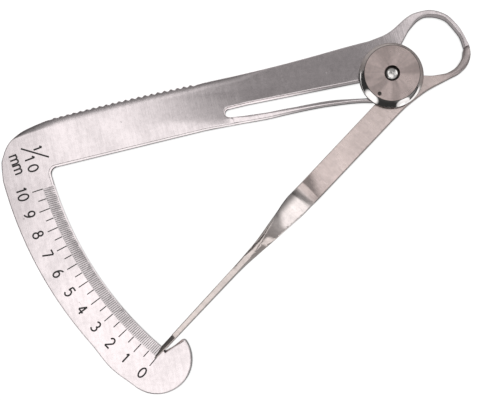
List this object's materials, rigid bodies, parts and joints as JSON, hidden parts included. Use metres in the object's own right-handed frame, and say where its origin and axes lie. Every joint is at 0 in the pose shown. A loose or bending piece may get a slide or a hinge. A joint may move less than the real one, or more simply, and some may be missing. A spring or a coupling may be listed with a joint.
{
  "type": "dental caliper",
  "caption": "Flat measuring caliper with curved beaks, a sprung lever whose twisted strip ends in a pointer, and a graduated sector.",
  "frame": {"origin": "on the pivot's axis, in the flat back of the tool, at the middle of the rivet's flush tail", "axes": "+Z along the pivot's axis, out of the graduated face; the arm runs from the pivot at 193.7 degrees from +X, and the closed beaks lie at 21.9 degrees from +X"},
  "size_m": [0.1065, 0.0873, 0.004],
  "materials": {
    "frame_steel": "ground, with a fine grain across the arm",
    "lever_steel": "ground and lightly polished along the twist",
    "disc_steel": "satin face with a polished bevel",
    "pin_steel": "dark, set just below the disc's face",
    "rivet_steel": "bright, domed by riveting"
  },
  "bodies": {
    "frame": {"frame_plate": "frame_steel", "pivot_rivet": "rivet_steel"},
    "lever": {"lever": "lever_steel", "pivot_disc": "disc_steel", "disc_pin": "pin_steel"},
    "spring": {"return_spring": "frame_steel"}
  },
  "joints": [
    {"name": "lever_pivot", "type": "hinge", "parent": "frame", "child": "lever", "pos_m": [0, 0, 0], "axis": [0, 0, -1], "range_deg": [0, 32.27], "stiffness_Nm_per_rad": 0.03, "springref_deg": -8.59},
    {"name": "spring_flexure", "type": "hinge", "parent": "frame", "child": "spring", "pos_m": [-0.03629, -0.00991, 0], "axis": [0, 0, 1], "range_deg": [0, 5.2]}
  ],
  "couplings": [
    {"joint": "spring_flexure", "follows": "lever_pivot", "ratio": 0.16}
  ]
}
